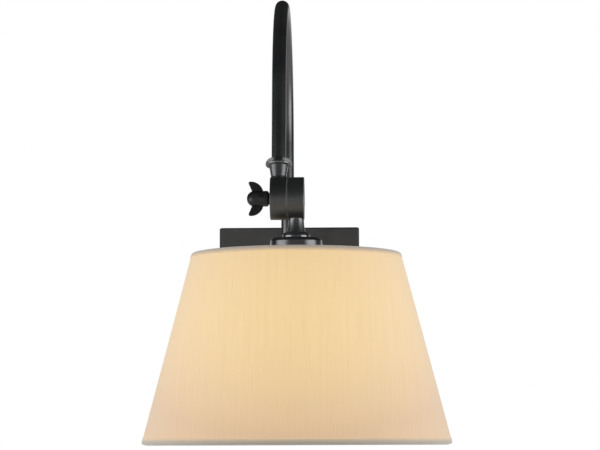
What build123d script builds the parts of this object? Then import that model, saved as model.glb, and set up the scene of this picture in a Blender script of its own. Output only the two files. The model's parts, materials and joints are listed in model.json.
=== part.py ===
from build123d import *
import math
import os

# A wall lamp of the pharmacy kind, in millimetres. The wall is the plane Y = 0, the room is on the -Y side,
# +X is to the right of someone facing the lamp and +Z is up. The origin is the middle of the wall box.

# Clearances between pieces
thread_gap = 0.05        # radial, between a thread and the hole that it is screwed into
slip_gap = 0.1           # radial, where one piece is slipped over another
running_gap = 0.08       # radial, where a shaft turns in a hole
seam_gap = 0.1           # between flat faces that slide over each other
seat_gap = 0.05          # between a curved seat and what sits on it
cable_gap = 0.3          # radial, round the cable in its passages

# Backplate and what fixes it to the wall box
plate_width = 131.5
plate_height = 120.6
plate_depth = 20.0
plate_wall = 1.6
plate_edge_bevel = 1.2
plate_corner_radius = 2.0
strap_length = 112.0
strap_height = 24.0
strap_thickness = 2.0
strap_corner_radius = 5.0
box_screw_spacing = 88.9
box_slot_length = 14.0
box_slot_width = 4.8
stud_spacing = 60.0
stud_diameter = 4.0
stud_reach = 5.5         # how far a stud stands out of the plate
stud_nut_flats = 7.0
stud_nut_height = 3.0
cap_nut_diameter = 9.6
cap_nut_skirt = 3.4
ground_screw_offset = 16.0
ground_screw_diameter = 4.0
ground_head_diameter = 8.0
ground_head_height = 2.4
screw_slot_width = 1.0
screw_slot_depth = 1.2

# Arm
tube_diameter = 12.0
tube_wall = 1.0
arm_standoff = 45.0      # plate front to the middle of the riser
elbow_radius = 28.0
arch_spring_height = 135.3
arch_radius = 105.2
leg_slant_deg = 11.0
leg_length = 70.0
cable_diameter = 5.4
cable_tail = 8.0         # cable left free inside the plate
nipple_length_in_arm = 14.0
nipple_tail = 3.0        # thread showing past the lock nut
seat_diameter = 31.0
seat_foot = 3.2
seat_bead_diameter = 20.0
seat_bead_height = 5.0
lock_washer_diameter = 20.0
lock_washer_thickness = 1.0
lock_nut_flats = 15.0
lock_nut_height = 4.0

# Knuckle
disc_diameter = 35.4
disc_width = 13.6
disc_edge_bevel = 0.5
race_width = 6.2         # radial width of the cable race inside each disc
race_boss_diameter = 14.4
friction_ring_thickness = 0.8
friction_ring_width = 3.0
friction_ring_inset = 0.4
bolt_diameter = 6.35
bolt_head_diameter = 12.0
bolt_head_height = 4.0
bolt_head_recess = 0.2
bolt_key_flats = 5.0
bolt_key_depth = 2.4
bolt_thread_reach = 10.0  # bolt past the clamp washer
spigot_diameter = 9.0
spigot_depth = 5.0
ferrule_foot_diameter = 10.8
ferrule_foot_height = 0.8  # foot showing above the disc
ferrule_cone_start = 12.8
ferrule_cone_diameter = 15.9
ferrule_cone_length = 10.2
lip_diameter = 22.0
lip_height = 6.4
lip_edge = 1.8           # height of the rolled edge under the lip
ferrule_rim = 0.5        # flat left round the tube
tube_engagement = 6.3

# Wing nut, turned body and two wings
washer_diameter = 10.0
washer_thickness = 1.4
nut_base_diameter = 13.0
nut_base_bevel = 0.8
nut_length = 18.0
nut_dome_length = 5.6
nut_bore_spare = 2.0     # blind bore past the end of the bolt
wing_span = 28.0
wing_thickness = 3.2
wing_front_level = 4.2   # front of a wing's root, from the base of the nut
wing_back_level = 13.2   # back of its root
wing_tip_level = 17.1
wing_swell = 3.6         # how far the front edge bows out of the straight
wing_tip_round = 1.3
wing_edge_round = 0.9

# Neck, collar and socket cup
neck_foot_diameter = 13.0
neck_mouth_diameter = 15.9
neck_length = 10.5
collar_diameter = 23.0
collar_step = 0.4        # collar past the mouth of the neck
collar_height = 4.9
collar_brim = 1.5        # straight edge at the foot of the collar
cup_diameter = 43.0
cup_height = 40.0
cup_wall = 1.2
cup_shoulder_radius = 3.0
socket_nipple_diameter = 10.0
nipple_in_neck = 6.5
nipple_in_socket = 6.5
cup_nut_flats = 15.0
cup_nut_height = 4.0

# Lamp socket, switch key and bulb
socket_diameter = 38.5
socket_length = 54.0
socket_edge_bevel = 2.0
shell_bore = 26.8
shell_wall = 0.6
shell_length = 23.0
shell_recess = 1.5       # shell end to the mouth of the socket
contact_diameter = 10.0
contact_thickness = 1.2
key_level = 19.0         # key shaft below the top of the cup
key_shaft_diameter = 4.0
key_shaft_depth = 9.0    # shaft inside the socket
key_boss_diameter = 6.6
key_boss_length = 3.0
key_stand_off = 1.0      # boss to the cup
key_length = 15.0
key_width = 10.0
key_thickness = 3.2
cup_key_hole = 7.6
bulb_length = 108.0
globe_diameter = 60.0
glass_wall = 0.8
glass_neck_diameter = 24.8
glass_neck_length = 8.0
glass_in_cap = 6.0
cap_diameter = 26.2
cap_length = 21.0
cap_wall = 0.6
insulator_height = 3.4
insulator_small_diameter = 11.0
bulb_tip_diameter = 9.0
bulb_tip_height = 2.0

# Shade
shade_top_diameter = 172.0
shade_bottom_diameter = 254.0
shade_height = 156.0
cover_thickness = 0.7
liner_thickness = 0.7
wire_diameter = 3.0
trim_thickness = 0.5
top_trim_width = 3.6
bottom_trim_width = 4.4
trim_roll = 0.9
trim_fit = 0.05
fitter_recess = 27.5     # top edge of the shade to the fitter
fitter_diameter = 52.0
fitter_thickness = 1.5
spoke_count = 3
spoke_diameter = 2.6
spoke_bend = 4.0
spoke_weld = 0.3         # how far the end of a spoke is pressed flat on the fitter
ring_nut_diameter = 48.0
ring_nut_height = 7.0
ring_nut_rib_count = 24
ring_nut_rib_depth = 0.8

# Places along the arm, in the plane X = 0
plate_front = -plate_depth
plate_inside = -(plate_depth - plate_wall)
riser_y = plate_front - arm_standoff
slant = math.radians(leg_slant_deg)
leg_down = Vector(0, -math.sin(slant), -math.cos(slant))
arch_end = Vector(
    0,
    riser_y - arch_radius * (1 + math.cos(slant)),
    arch_spring_height + arch_radius * math.sin(slant),
)
disc_radius = disc_diameter / 2
ferrule_top = disc_radius + ferrule_cone_length + lip_height
tube_end = ferrule_top - tube_engagement
pivot = arch_end + leg_down * (leg_length + tube_end)

# Places across the knuckle, along X
arm_disc_left = -disc_width / 2
arm_disc_right = disc_width / 2
head_disc_left = arm_disc_right + friction_ring_thickness + seam_gap
head_disc_right = head_disc_left + disc_width
head_x = head_disc_left + disc_width / 2
washer_right = arm_disc_left - seat_gap
nut_right = washer_right - washer_thickness
bolt_seat = head_disc_right - bolt_head_recess - bolt_head_height
bolt_end = nut_right - bolt_thread_reach
race_inner = race_boss_diameter / 2
race_outer = race_inner + race_width
race_half_depth = cable_diameter / 2 + cable_gap

# Levels below the pivot, along the head's own upright axis
collar_top = disc_radius + neck_length
cup_top = collar_top + collar_height
cup_nut_top = cup_top + cup_wall
socket_top = cup_nut_top + cup_nut_height
socket_mouth = socket_top + socket_length
cup_rim = cup_top + cup_height
shell_bottom = socket_mouth - shell_recess
shell_top = shell_bottom - shell_length
contact_bottom = shell_top + contact_thickness
key_axis_level = cup_top + key_level
fitter_bottom = cup_rim + fitter_thickness
shade_top = cup_rim - fitter_recess
bulb_top = contact_bottom + seat_gap
bulb_tip_bottom = bulb_top + bulb_tip_height
bulb_cap_top = bulb_tip_bottom + insulator_height
bulb_cap_bottom = bulb_cap_top + cap_length
globe_centre = bulb_top + bulb_length - globe_diameter / 2

passage = cable_diameter + 2 * cable_gap
arm_nipple_diameter = tube_diameter - 2 * tube_wall - 2 * thread_gap
head_frame = Plane(origin=(head_x, pivot.Y, pivot.Z))
ferrule_frame = Plane(origin=pivot, x_dir=(1, 0, 0), z_dir=-leg_down)


def along_x(x, z_dir=1):
    """Frame on the knuckle's axis at the given X, with its own Z along X."""
    return Plane(origin=(x, pivot.Y, pivot.Z), x_dir=(0, 1, 0), z_dir=(z_dir, 0, 0))


def out_of_wall(y, x=0.0, z=0.0):
    """Frame whose own Z points from the wall into the room."""
    return Plane(origin=(x, y, z), x_dir=(1, 0, 0), z_dir=(0, -1, 0))


def rod(diameter, length, bore=0.0):
    """Round bar or tube that stands on its own origin."""
    section = Circle(diameter / 2)
    if bore > 0:
        section -= Circle(bore / 2)
    return extrude(section, length)


def turned(outline):
    """Solid turned round Z from a closed outline drawn as (radius, height)."""
    return revolve(Plane.XZ * make_face(outline), Axis.Z)


def hex_nut(flats, height, bore):
    """Plain hexagon nut that stands on its own origin."""
    return extrude(RegularPolygon(flats / 2, 6, major_radius=False) - Circle(bore / 2), height)


# Wall fixing


def backplate():
    pan = Box(plate_width, plate_depth, plate_height, align=(Align.CENTER, Align.MAX, Align.CENTER))
    pan = fillet(pan.edges().filter_by(Axis.Y), plate_corner_radius)
    pan = chamfer(pan.faces().sort_by(Axis.Y)[0].edges(), plate_edge_bevel)
    pan -= Box(
        plate_width - 2 * plate_wall,
        plate_depth - plate_wall,
        plate_height - 2 * plate_wall,
        align=(Align.CENTER, Align.MAX, Align.CENTER),
    )
    pan -= out_of_wall(0) * rod(arm_nipple_diameter + 2 * slip_gap, plate_depth)
    for x in stud_places():
        pan -= out_of_wall(0, x) * rod(stud_diameter + 2 * slip_gap, plate_depth)
    return pan


def stud_places():
    return (-stud_spacing / 2, stud_spacing / 2)


def mounting_strap():
    bar = RectangleRounded(strap_length, strap_height, strap_corner_radius)
    for x in (-box_screw_spacing / 2, box_screw_spacing / 2):
        bar -= Pos(x, 0) * SlotOverall(box_slot_length, box_slot_width)
    for x in stud_places():
        bar -= Pos(x, 0) * Circle(stud_diameter / 2 + thread_gap)
    bar -= Pos(-ground_screw_offset, 0) * Circle(ground_screw_diameter / 2 + thread_gap)
    return extrude(out_of_wall(0) * bar, strap_thickness)


def plate_studs():
    length = plate_depth + stud_reach
    return [out_of_wall(0, x) * rod(stud_diameter, length) for x in stud_places()]


def stud_nuts():
    nut = hex_nut(stud_nut_flats, stud_nut_height, stud_diameter + 2 * thread_gap)
    return [out_of_wall(-strap_thickness, x) * nut for x in stud_places()]


def cap_nuts():
    radius = cap_nut_diameter / 2
    bore = stud_diameter / 2 + thread_gap
    depth = stud_reach + thread_gap
    dome_top = max(cap_nut_skirt, depth) + radius
    outline = Polyline((bore, 0), (radius, 0), (radius, dome_top - radius))
    outline += CenterArc((0, dome_top - radius), radius, 0, 90)
    outline += Polyline((0, dome_top), (0, depth), (bore, depth), (bore, 0))
    nut = turned(outline)
    return [out_of_wall(plate_front, x) * nut for x in stud_places()]


def ground_screw():
    head = turned(
        Polyline((0, 0), (ground_head_diameter / 2, 0), (ground_head_diameter / 2, ground_head_height / 2))
        + EllipticalCenterArc(
            (0, ground_head_height / 2), ground_head_diameter / 2, ground_head_height / 2, arc_size=90
        )
        + Line((0, ground_head_height), (0, 0))
    )
    slot = Box(ground_head_diameter, screw_slot_width, 2 * screw_slot_depth)
    screw = head - Pos(0, 0, ground_head_height) * slot
    screw += Pos(0, 0, -strap_thickness) * rod(ground_screw_diameter, strap_thickness)
    return out_of_wall(-strap_thickness, -ground_screw_offset) * screw


# Arm


def arm_line(start_y, end_level):
    """Line of the arm: out of the wall, up the riser, over the arch and down the slanted leg."""
    end = pivot - leg_down * end_level
    out = Line((start_y, 0), (riser_y + elbow_radius, 0))
    elbow = JernArc(out @ 1, out % 1, elbow_radius, -90)
    riser = Line(elbow @ 1, (riser_y, arch_spring_height))
    arch = JernArc(riser @ 1, riser % 1, arch_radius, 180 - leg_slant_deg)
    leg = Line(arch @ 1, (end.Y, end.Z))
    return Wire((Plane.YZ * (out + elbow + riser + arch + leg)).edges())


def arm_tube():
    line = arm_line(plate_front, tube_end)
    section = Circle(tube_diameter / 2) - Circle(tube_diameter / 2 - tube_wall)
    return sweep(Plane(origin=line @ 0, z_dir=line % 0) * section, line)


def arm_cable():
    line = arm_line(plate_inside + lock_stack() + cable_tail, race_inner + seat_gap)
    return sweep(Plane(origin=line @ 0, z_dir=line % 0) * Circle(cable_diameter / 2), line)


def lock_stack():
    """Height of the washer, the nut and the bare thread inside the plate."""
    return lock_washer_thickness + lock_nut_height + nipple_tail


def arm_nipple():
    length = nipple_length_in_arm + plate_wall + lock_stack()
    return out_of_wall(plate_inside + lock_stack()) * rod(arm_nipple_diameter, length, passage)


def lock_washer():
    ring = rod(lock_washer_diameter, lock_washer_thickness, arm_nipple_diameter + 2 * slip_gap)
    return out_of_wall(plate_inside + lock_washer_thickness) * ring


def lock_nut():
    nut = hex_nut(lock_nut_flats, lock_nut_height, arm_nipple_diameter + 2 * thread_gap)
    return out_of_wall(plate_inside + lock_washer_thickness + lock_nut_height) * nut


def arm_seat():
    """Stepped foot that hides the hole in the plate: a low disc with a half-round bead on it."""
    bore = tube_diameter / 2 + slip_gap
    bead = seat_bead_height / 2
    bead_centre = seat_bead_diameter / 2 - bead
    outline = Polyline((bore, 0), (seat_diameter / 2, 0), (seat_diameter / 2, seat_foot / 2))
    outline += CenterArc((seat_diameter / 2 - seat_foot / 2, seat_foot / 2), seat_foot / 2, 0, 90)
    outline += Line((seat_diameter / 2 - seat_foot / 2, seat_foot), (bead_centre, seat_foot))
    outline += CenterArc((bead_centre, seat_foot + bead), bead, -90, 180)
    seat_top = seat_foot + seat_bead_height
    outline += Polyline((bead_centre, seat_top), (bore, seat_top), (bore, 0))
    return out_of_wall(plate_front) * turned(outline)


def arm_ferrule():
    """Spigot, foot, cone and drooping lip turned in one, saddled on the disc; the tube drops into its top."""
    spigot_end = disc_radius - spigot_depth
    cone_bottom = disc_radius + ferrule_foot_height
    cone_top = disc_radius + ferrule_cone_length
    edge_top = cone_top + lip_edge
    lip = lip_diameter / 2
    bore = passage / 2
    socket = tube_diameter / 2 + slip_gap
    shoulder = socket + ferrule_rim
    saddle = disc_radius - spigot_depth / 2
    outline = Polyline(
        (bore, spigot_end),
        (spigot_diameter / 2, spigot_end),
        (spigot_diameter / 2, saddle),
        (ferrule_foot_diameter / 2, saddle),
        (ferrule_foot_diameter / 2, cone_bottom),
        (ferrule_cone_start / 2, cone_bottom),
        (ferrule_cone_diameter / 2, cone_top),
        (lip - lip_edge, cone_top),
    )
    outline += CenterArc((lip - lip_edge, edge_top), lip_edge, -90, 90)
    outline += EllipticalCenterArc((shoulder, edge_top), lip - shoulder, ferrule_top - edge_top, arc_size=90)
    outline += Polyline(
        (shoulder, ferrule_top),
        (socket, ferrule_top),
        (socket, tube_end),
        (bore, tube_end),
        (bore, spigot_end),
    )
    return ferrule_frame * turned(outline) - disc_saddle(arm_disc_left, spigot_hole(ferrule_frame))


def spigot_hole(frame):
    """Round hole for a spigot, from the middle of the cable race out past the rim of a disc."""
    race_middle = (race_inner + race_outer) / 2
    return frame * Pos(0, 0, race_middle) * rod(spigot_diameter + 2 * seat_gap, disc_radius)


def disc_saddle(left, hole):
    """What a disc takes away from the piece that sits on its rim."""
    return along_x(left) * rod(disc_diameter + 2 * seat_gap, disc_width) - hole


# Knuckle


def knuckle_disc(left, race_side, hole_frame):
    """Disc with bevelled edges, a bolt hole, a ring-shaped cable race and a hole for a spigot."""
    disc = along_x(left) * rod(disc_diameter, disc_width)
    disc = chamfer(disc.edges().filter_by(GeomType.CIRCLE), disc_edge_bevel)
    disc -= along_x(left) * rod(bolt_diameter + 2 * running_gap, disc_width)
    race_depth = disc_width / 2 + race_half_depth
    race_start = left + disc_width if race_side > 0 else left
    disc -= along_x(race_start, -race_side) * rod(2 * race_outer, race_depth, race_boss_diameter)
    return disc - spigot_hole(hole_frame)


def arm_knuckle():
    return knuckle_disc(arm_disc_left, 1, ferrule_frame)


def hanging(frame):
    """The same frame with its own Z pointing down."""
    return Plane(origin=frame.origin, x_dir=(1, 0, 0), z_dir=(0, 0, -1))


def head_knuckle():
    disc = knuckle_disc(head_disc_left, -1, hanging(head_frame))
    recess = bolt_head_height + bolt_head_recess
    return disc - along_x(bolt_seat) * rod(bolt_head_diameter + 2 * slip_gap, recess)


def friction_ring():
    outer = disc_diameter - 2 * disc_edge_bevel - 2 * friction_ring_inset
    return along_x(arm_disc_right) * rod(outer, friction_ring_thickness, outer - 2 * friction_ring_width)


def pivot_bolt():
    bolt = along_x(bolt_end) * rod(bolt_diameter, bolt_seat - bolt_end)
    bolt += along_x(bolt_seat) * rod(bolt_head_diameter, bolt_head_height)
    key = extrude(RegularPolygon(bolt_key_flats / 2, 6, major_radius=False), bolt_key_depth)
    return bolt - along_x(bolt_seat + bolt_head_height, -1) * key


def clamp_washer():
    return along_x(nut_right) * rod(washer_diameter, washer_thickness, bolt_diameter + 2 * running_gap)


def bowed(start, end, bow):
    """Arc from start to end whose middle stands off the straight line by bow, to the left of the way."""
    way = Vector(*end) - Vector(*start)
    left = Vector(-way.Y, way.X).normalized()
    return ThreePointArc(start, Vector(*start) + way / 2 + left * bow, end)


def wing_nut():
    """Turned body with a domed end and a blind bore, and two fins rooted in its wall."""
    base = nut_base_diameter / 2
    dome_start = nut_length - nut_dome_length
    outline = Polyline((0, 0), (base - nut_base_bevel, 0), (base, nut_base_bevel), (base, dome_start))
    dome = (base ** 2 + nut_dome_length ** 2) / (2 * nut_dome_length)
    spring_deg = math.degrees(math.asin((dome - nut_dome_length) / dome))
    outline += CenterArc((0, nut_length - dome), dome, spring_deg, 90 - spring_deg)
    outline += Line((0, nut_length), (0, 0))
    body = turned(outline)
    tip = (wing_span / 2, wing_tip_level)
    root = (nut_base_diameter + bolt_diameter) / 4
    fin = bowed((root, wing_front_level), tip, -wing_swell)
    fin = make_face(fin + Polyline(tip, (root, wing_back_level), (root, wing_front_level)))
    fin = fillet(fin.vertices().sort_by_distance(tip)[0], wing_tip_round)
    wing = extrude(Plane.XZ * fin, wing_thickness / 2, both=True)
    wing = fillet(wing.edges().filter_by(Plane.XZ), wing_edge_round)
    nut = body + wing + Rot(0, 0, 180) * wing
    nut -= rod(bolt_diameter + 2 * thread_gap, bolt_thread_reach + nut_bore_spare)
    axis = Plane(origin=(nut_right, pivot.Y, pivot.Z), x_dir=(0, 0, 1), z_dir=(-1, 0, 0))
    return axis * nut


# Neck, collar, cup and socket


def neck():
    """Neck that widens in a hollow curve from the disc to the collar."""
    spigot_end = disc_radius - spigot_depth
    saddle = disc_radius - spigot_depth / 2
    foot = neck_foot_diameter / 2
    mouth = neck_mouth_diameter / 2
    bore = passage / 2
    socket = socket_nipple_diameter / 2 + thread_gap
    socket_end = collar_top - nipple_in_neck - thread_gap
    outline = Polyline(
        (bore, -spigot_end),
        (spigot_diameter / 2, -spigot_end),
        (spigot_diameter / 2, -saddle),
        (foot, -saddle),
        (foot, -disc_radius),
    )
    outline += TangentArc((foot, -disc_radius), (mouth, -collar_top), tangent=(0, -1))
    outline += Polyline(
        (mouth, -collar_top),
        (socket, -collar_top),
        (socket, -socket_end),
        (bore, -socket_end),
        (bore, -spigot_end),
    )
    hole = spigot_hole(hanging(head_frame))
    return head_frame * turned(outline) - disc_saddle(head_disc_left, hole)


def neck_collar():
    """Skirt that rounds outwards from the mouth of the neck to a straight brim on top of the cup."""
    bore = socket_nipple_diameter / 2 + slip_gap
    brim = collar_diameter / 2
    crown = neck_mouth_diameter / 2 + collar_step
    outline = Polyline((brim, -cup_top), (bore, -cup_top), (bore, -collar_top), (crown, -collar_top))
    brim_top = collar_brim - cup_top
    outline += EllipticalCenterArc((crown, brim_top), brim - crown, collar_height - collar_brim, arc_size=90)
    outline += Line((brim, brim_top), (brim, -cup_top))
    return head_frame * turned(outline)


def socket_cup():
    """Thin cup, open below, with a round shoulder and holes for the nipple and the key."""
    outer = cup_diameter / 2
    inner = outer - cup_wall
    round_in = cup_shoulder_radius - cup_wall
    centre = outer - cup_shoulder_radius
    level = cup_top + cup_shoulder_radius
    hole = socket_nipple_diameter / 2 + slip_gap
    outline = Polyline((hole, -cup_nut_top), (hole, -cup_top), (centre, -cup_top))
    outline += CenterArc((centre, -level), cup_shoulder_radius, 0, 90)
    outline += Polyline((outer, -level), (outer, -cup_rim), (inner, -cup_rim), (inner, -level))
    outline += CenterArc((centre, -level), round_in, 0, 90)
    outline += Line((centre, -cup_nut_top), (hole, -cup_nut_top))
    return head_frame * (turned(outline) - key_frame() * rod(cup_key_hole, cup_diameter))


def key_frame(reach=0.0):
    """Frame on the key's shaft, measured from the head's axis, with its own Z pointing to the right."""
    return Plane(origin=(reach, 0, -key_axis_level), x_dir=(0, 1, 0), z_dir=(1, 0, 0))


def socket_nipple():
    top = collar_top - nipple_in_neck
    return head_frame * Pos(0, 0, -socket_top - nipple_in_socket) * rod(
        socket_nipple_diameter, socket_top + nipple_in_socket - top, passage
    )


def cup_nut():
    nut = hex_nut(cup_nut_flats, cup_nut_height, socket_nipple_diameter + 2 * thread_gap)
    return head_frame * Pos(0, 0, -socket_top) * nut


def head_cable():
    top = race_inner + seat_gap
    bottom = socket_top + nipple_in_socket
    return head_frame * Pos(0, 0, -bottom) * rod(cable_diameter, bottom - top)


def socket_body():
    """Insulating body: a threaded top, a blind hole for the key's shaft and a bore for the screw shell."""
    outer = socket_diameter / 2
    hub = socket_nipple_diameter / 2 + thread_gap
    hub_end = socket_top + nipple_in_socket + thread_gap
    bore = shell_bore / 2 + shell_wall + slip_gap
    outline = Polyline(
        (0, -hub_end),
        (hub, -hub_end),
        (hub, -socket_top),
        (outer - socket_edge_bevel, -socket_top),
        (outer, -socket_top - socket_edge_bevel),
        (outer, -socket_mouth),
        (bore, -socket_mouth),
        (bore, -shell_top),
        (0, -shell_top),
        close=True,
    )
    body = turned(outline)
    hole = rod(key_shaft_diameter + 2 * running_gap, key_shaft_depth + slip_gap)
    return head_frame * (body - key_frame(outer - key_shaft_depth) * hole)


def screw_shell():
    shell = rod(shell_bore + 2 * shell_wall, shell_length, shell_bore)
    return head_frame * Pos(0, 0, -shell_bottom) * shell


def centre_contact():
    return head_frame * Pos(0, 0, -contact_bottom) * rod(contact_diameter, contact_thickness)


def switch_key():
    """Flat oval key on a short boss, with the shaft that turns the switch."""
    start = socket_diameter / 2 - key_shaft_depth + running_gap
    boss = cup_diameter / 2 + key_stand_off
    shaft = key_frame(start) * rod(key_shaft_diameter, boss - start)
    collar = key_frame(boss) * rod(key_boss_diameter, key_boss_length)
    paddle = extrude(Ellipse(key_length / 2, key_width / 2), key_thickness / 2, both=True)
    paddle = fillet(paddle.edges(), key_thickness / 4)
    paddle_centre = boss + key_boss_length / 2 + key_length / 2
    key = shaft + collar + Pos(paddle_centre, 0, -key_axis_level) * paddle
    return head_frame * key


# Bulb


def bulb_contact():
    return head_frame * Pos(0, 0, -bulb_tip_bottom) * rod(bulb_tip_diameter, bulb_tip_height)


def bulb_insulator():
    outline = Polyline(
        (0, -bulb_tip_bottom),
        (insulator_small_diameter / 2, -bulb_tip_bottom),
        (cap_diameter / 2 - cap_wall, -bulb_cap_top),
        (0, -bulb_cap_top),
        close=True,
    )
    return head_frame * turned(outline)


def bulb_cap():
    cap = rod(cap_diameter, cap_length, cap_diameter - 2 * cap_wall) + Pos(0, 0, cap_length - cap_wall) * rod(
        cap_diameter, cap_wall
    )
    return head_frame * Pos(0, 0, -bulb_cap_bottom) * cap


def glass_outline(shrink):
    """Half outline of the glass: a straight neck, a hollow curve and the globe, set in by shrink."""
    neck_radius = glass_neck_diameter / 2
    globe = globe_diameter / 2
    bend = bulb_cap_bottom + glass_neck_length
    drop = globe_centre - bend
    hollow = (neck_radius ** 2 + drop ** 2 - globe ** 2) / (2 * (globe - neck_radius))
    reach = math.hypot(neck_radius + hollow, drop)
    turn_deg = math.degrees(math.asin(drop / reach))
    curve = Line((neck_radius - shrink, -bulb_cap_bottom + glass_in_cap), (neck_radius - shrink, -bend))
    curve += CenterArc((neck_radius + hollow, -bend), hollow + shrink, 180, turn_deg)
    curve += CenterArc((0, -globe_centre), globe - shrink, turn_deg, -90 - turn_deg)
    return curve


def bulb_glass():
    top = -bulb_cap_bottom + glass_in_cap
    bottom = -globe_centre - globe_diameter / 2
    neck_radius = glass_neck_diameter / 2
    outline = glass_outline(0) + glass_outline(glass_wall)
    outline += Line((neck_radius, top), (neck_radius - glass_wall, top))
    outline += Line((0, bottom), (0, bottom + glass_wall))
    return head_frame * turned(outline)


# Shade

taper = math.atan2((shade_bottom_diameter - shade_top_diameter) / 2, shade_height)
slant_length = math.hypot((shade_bottom_diameter - shade_top_diameter) / 2, shade_height)
wire_depth = cover_thickness + liner_thickness + trim_fit + wire_diameter / 2
wire_setback = trim_thickness + 2 * trim_fit + wire_diameter / 2


def on_shade(down, out):
    """Point of the shade's section: distance down the slant from the top edge, and out from its face."""
    radius = shade_top_diameter / 2 + down * math.sin(taper) + out * math.cos(taper)
    height = -shade_top - down * math.cos(taper) + out * math.sin(taper)
    return (radius, height)


def shade_sheet(outer_face, thickness):
    """Tapered sheet from just inside the top trim to just inside the bottom trim."""
    start = trim_thickness + trim_fit
    end = slant_length - start
    inner_face = outer_face - thickness
    corners = [(start, outer_face), (end, outer_face), (end, inner_face), (start, inner_face)]
    return head_frame * turned(Polyline([on_shade(*corner) for corner in corners], close=True))


def shade_cover():
    return shade_sheet(-trim_thickness - trim_fit, cover_thickness)


def shade_liner():
    return shade_sheet(-trim_thickness - trim_fit - cover_thickness, liner_thickness)


def edge_point(from_edge, out, at_bottom):
    """Point measured from the top edge, or from the bottom edge, of the shade."""
    down = slant_length - from_edge if at_bottom else from_edge
    return on_shade(down, out - trim_thickness - trim_fit)


def edge_wire(at_bottom, spare=0.0):
    """Wire hoop that stiffens an edge, inside the liner."""
    radius, height = edge_point(wire_setback, -wire_depth, at_bottom)
    return turned(Pos(radius, height) * Circle(wire_diameter / 2 + spare).edge())


def edge_trim(width, at_bottom):
    """Tape folded over an edge, with rolled corners."""
    inside = -wire_depth - wire_diameter / 2 - trim_fit
    start = trim_thickness
    corners = [
        (0, trim_fit + trim_thickness),
        (width, trim_fit + trim_thickness),
        (width, trim_fit),
        (start, trim_fit),
        (start, inside),
        (width, inside),
        (width, inside - trim_thickness),
        (0, inside - trim_thickness),
    ]
    points = [edge_point(*corner, at_bottom) for corner in corners]
    face = make_face(Polyline(points, close=True))
    rolled = [face.vertices().sort_by_distance(points[index])[0] for index in (0, 7)]
    face = fillet(rolled, trim_roll)
    return revolve(Plane.XZ * face, Axis.Z)


def spokes(diameter):
    """Bars that lie on the fitter for a short way and then rise straight to the top hoop."""
    hoop_radius, hoop_height = edge_point(wire_setback, -wire_depth, False)
    foot_height = -cup_rim + spoke_diameter / 2 - spoke_weld
    foot_radius = cup_diameter / 2 + 2 * slip_gap
    corners = [(foot_radius, foot_height), (fitter_diameter / 2, foot_height), (hoop_radius, hoop_height)]
    line = Plane.XZ * FilletPolyline(*corners, radius=spoke_bend)
    spoke = sweep(Plane(origin=line @ 0, z_dir=line % 0) * Circle(diameter / 2), line)
    return [Rot(0, 0, index * 360 / spoke_count) * spoke for index in range(spoke_count)]


def shade_spokes():
    """Spokes, flat where they are welded to the fitter and notched where they meet the hoop."""
    fitter_room = Pos(0, 0, -fitter_bottom) * rod(fitter_diameter, fitter_thickness)
    hoop_room = edge_wire(False, seat_gap)
    return [head_frame * (spoke - fitter_room - hoop_room) for spoke in spokes(spoke_diameter)]


def shade_fitter():
    """Flat ring that the shade hangs by, held between the cup and the ring nut."""
    return head_frame * Pos(0, 0, -fitter_bottom) * rod(
        fitter_diameter, fitter_thickness, socket_diameter + 2 * slip_gap
    )


def top_wire():
    return head_frame * edge_wire(False)


def bottom_wire():
    return head_frame * edge_wire(True)


def top_trim():
    trim = edge_trim(top_trim_width, False)
    for notch in spokes(spoke_diameter + 2 * slip_gap):
        trim -= notch
    return head_frame * trim


def bottom_trim():
    return head_frame * edge_trim(bottom_trim_width, True)


def shade_ring_nut():
    """Ring with finger ribs, screwed up the socket against the fitter."""
    ring = Circle(ring_nut_diameter / 2) - Circle(socket_diameter / 2 + thread_gap)
    groove = Pos(ring_nut_diameter / 2, 0) * Circle(ring_nut_rib_depth)
    ring -= [Rot(0, 0, index * 360 / ring_nut_rib_count) * groove for index in range(ring_nut_rib_count)]
    return head_frame * Pos(0, 0, -fitter_bottom - ring_nut_height) * extrude(ring, ring_nut_height)


pieces = [
    backplate, mounting_strap, plate_studs, stud_nuts, cap_nuts, ground_screw,
    arm_tube, arm_cable, arm_nipple, lock_washer, lock_nut, arm_seat, arm_ferrule,
    arm_knuckle, head_knuckle, friction_ring, pivot_bolt, clamp_washer, wing_nut,
    neck, neck_collar, socket_cup, socket_nipple, cup_nut, head_cable,
    socket_body, screw_shell, centre_contact, switch_key,
    bulb_contact, bulb_insulator, bulb_cap, bulb_glass,
    shade_cover, shade_liner, top_wire, bottom_wire, shade_spokes, shade_fitter, top_trim, bottom_trim,
    shade_ring_nut,
]

os.makedirs("parts", exist_ok=True)
for piece in pieces:
    made = piece()
    solid = Compound(made) if isinstance(made, list) else made
    export_step(solid, f"parts/{piece.__name__}.step")
print("pivot at", [round(value, 2) for value in pivot], "head axis at X", round(head_x, 2))
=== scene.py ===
# %% [markdown]
# # A wall lamp of the pharmacy kind, dressed for its picture
# The lamp's metalwork, socket, bulb and shade were drawn as solids and packed as a jointed model.
# This notebook loads that model as a fixed frame, in metres, with the wall at Y = 0, the room on
# the -Y side and Z up. It then gives every piece its finish, and makes anew the pieces whose look a
# solid can't carry: the cloth of the shade, its tapes and the screw threads. Nothing in the frame
# is moved, so all joints keep working.

import json
import math

import bmesh
import bpy
import numpy as np
from mathutils import Euler, Matrix, Vector


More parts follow.
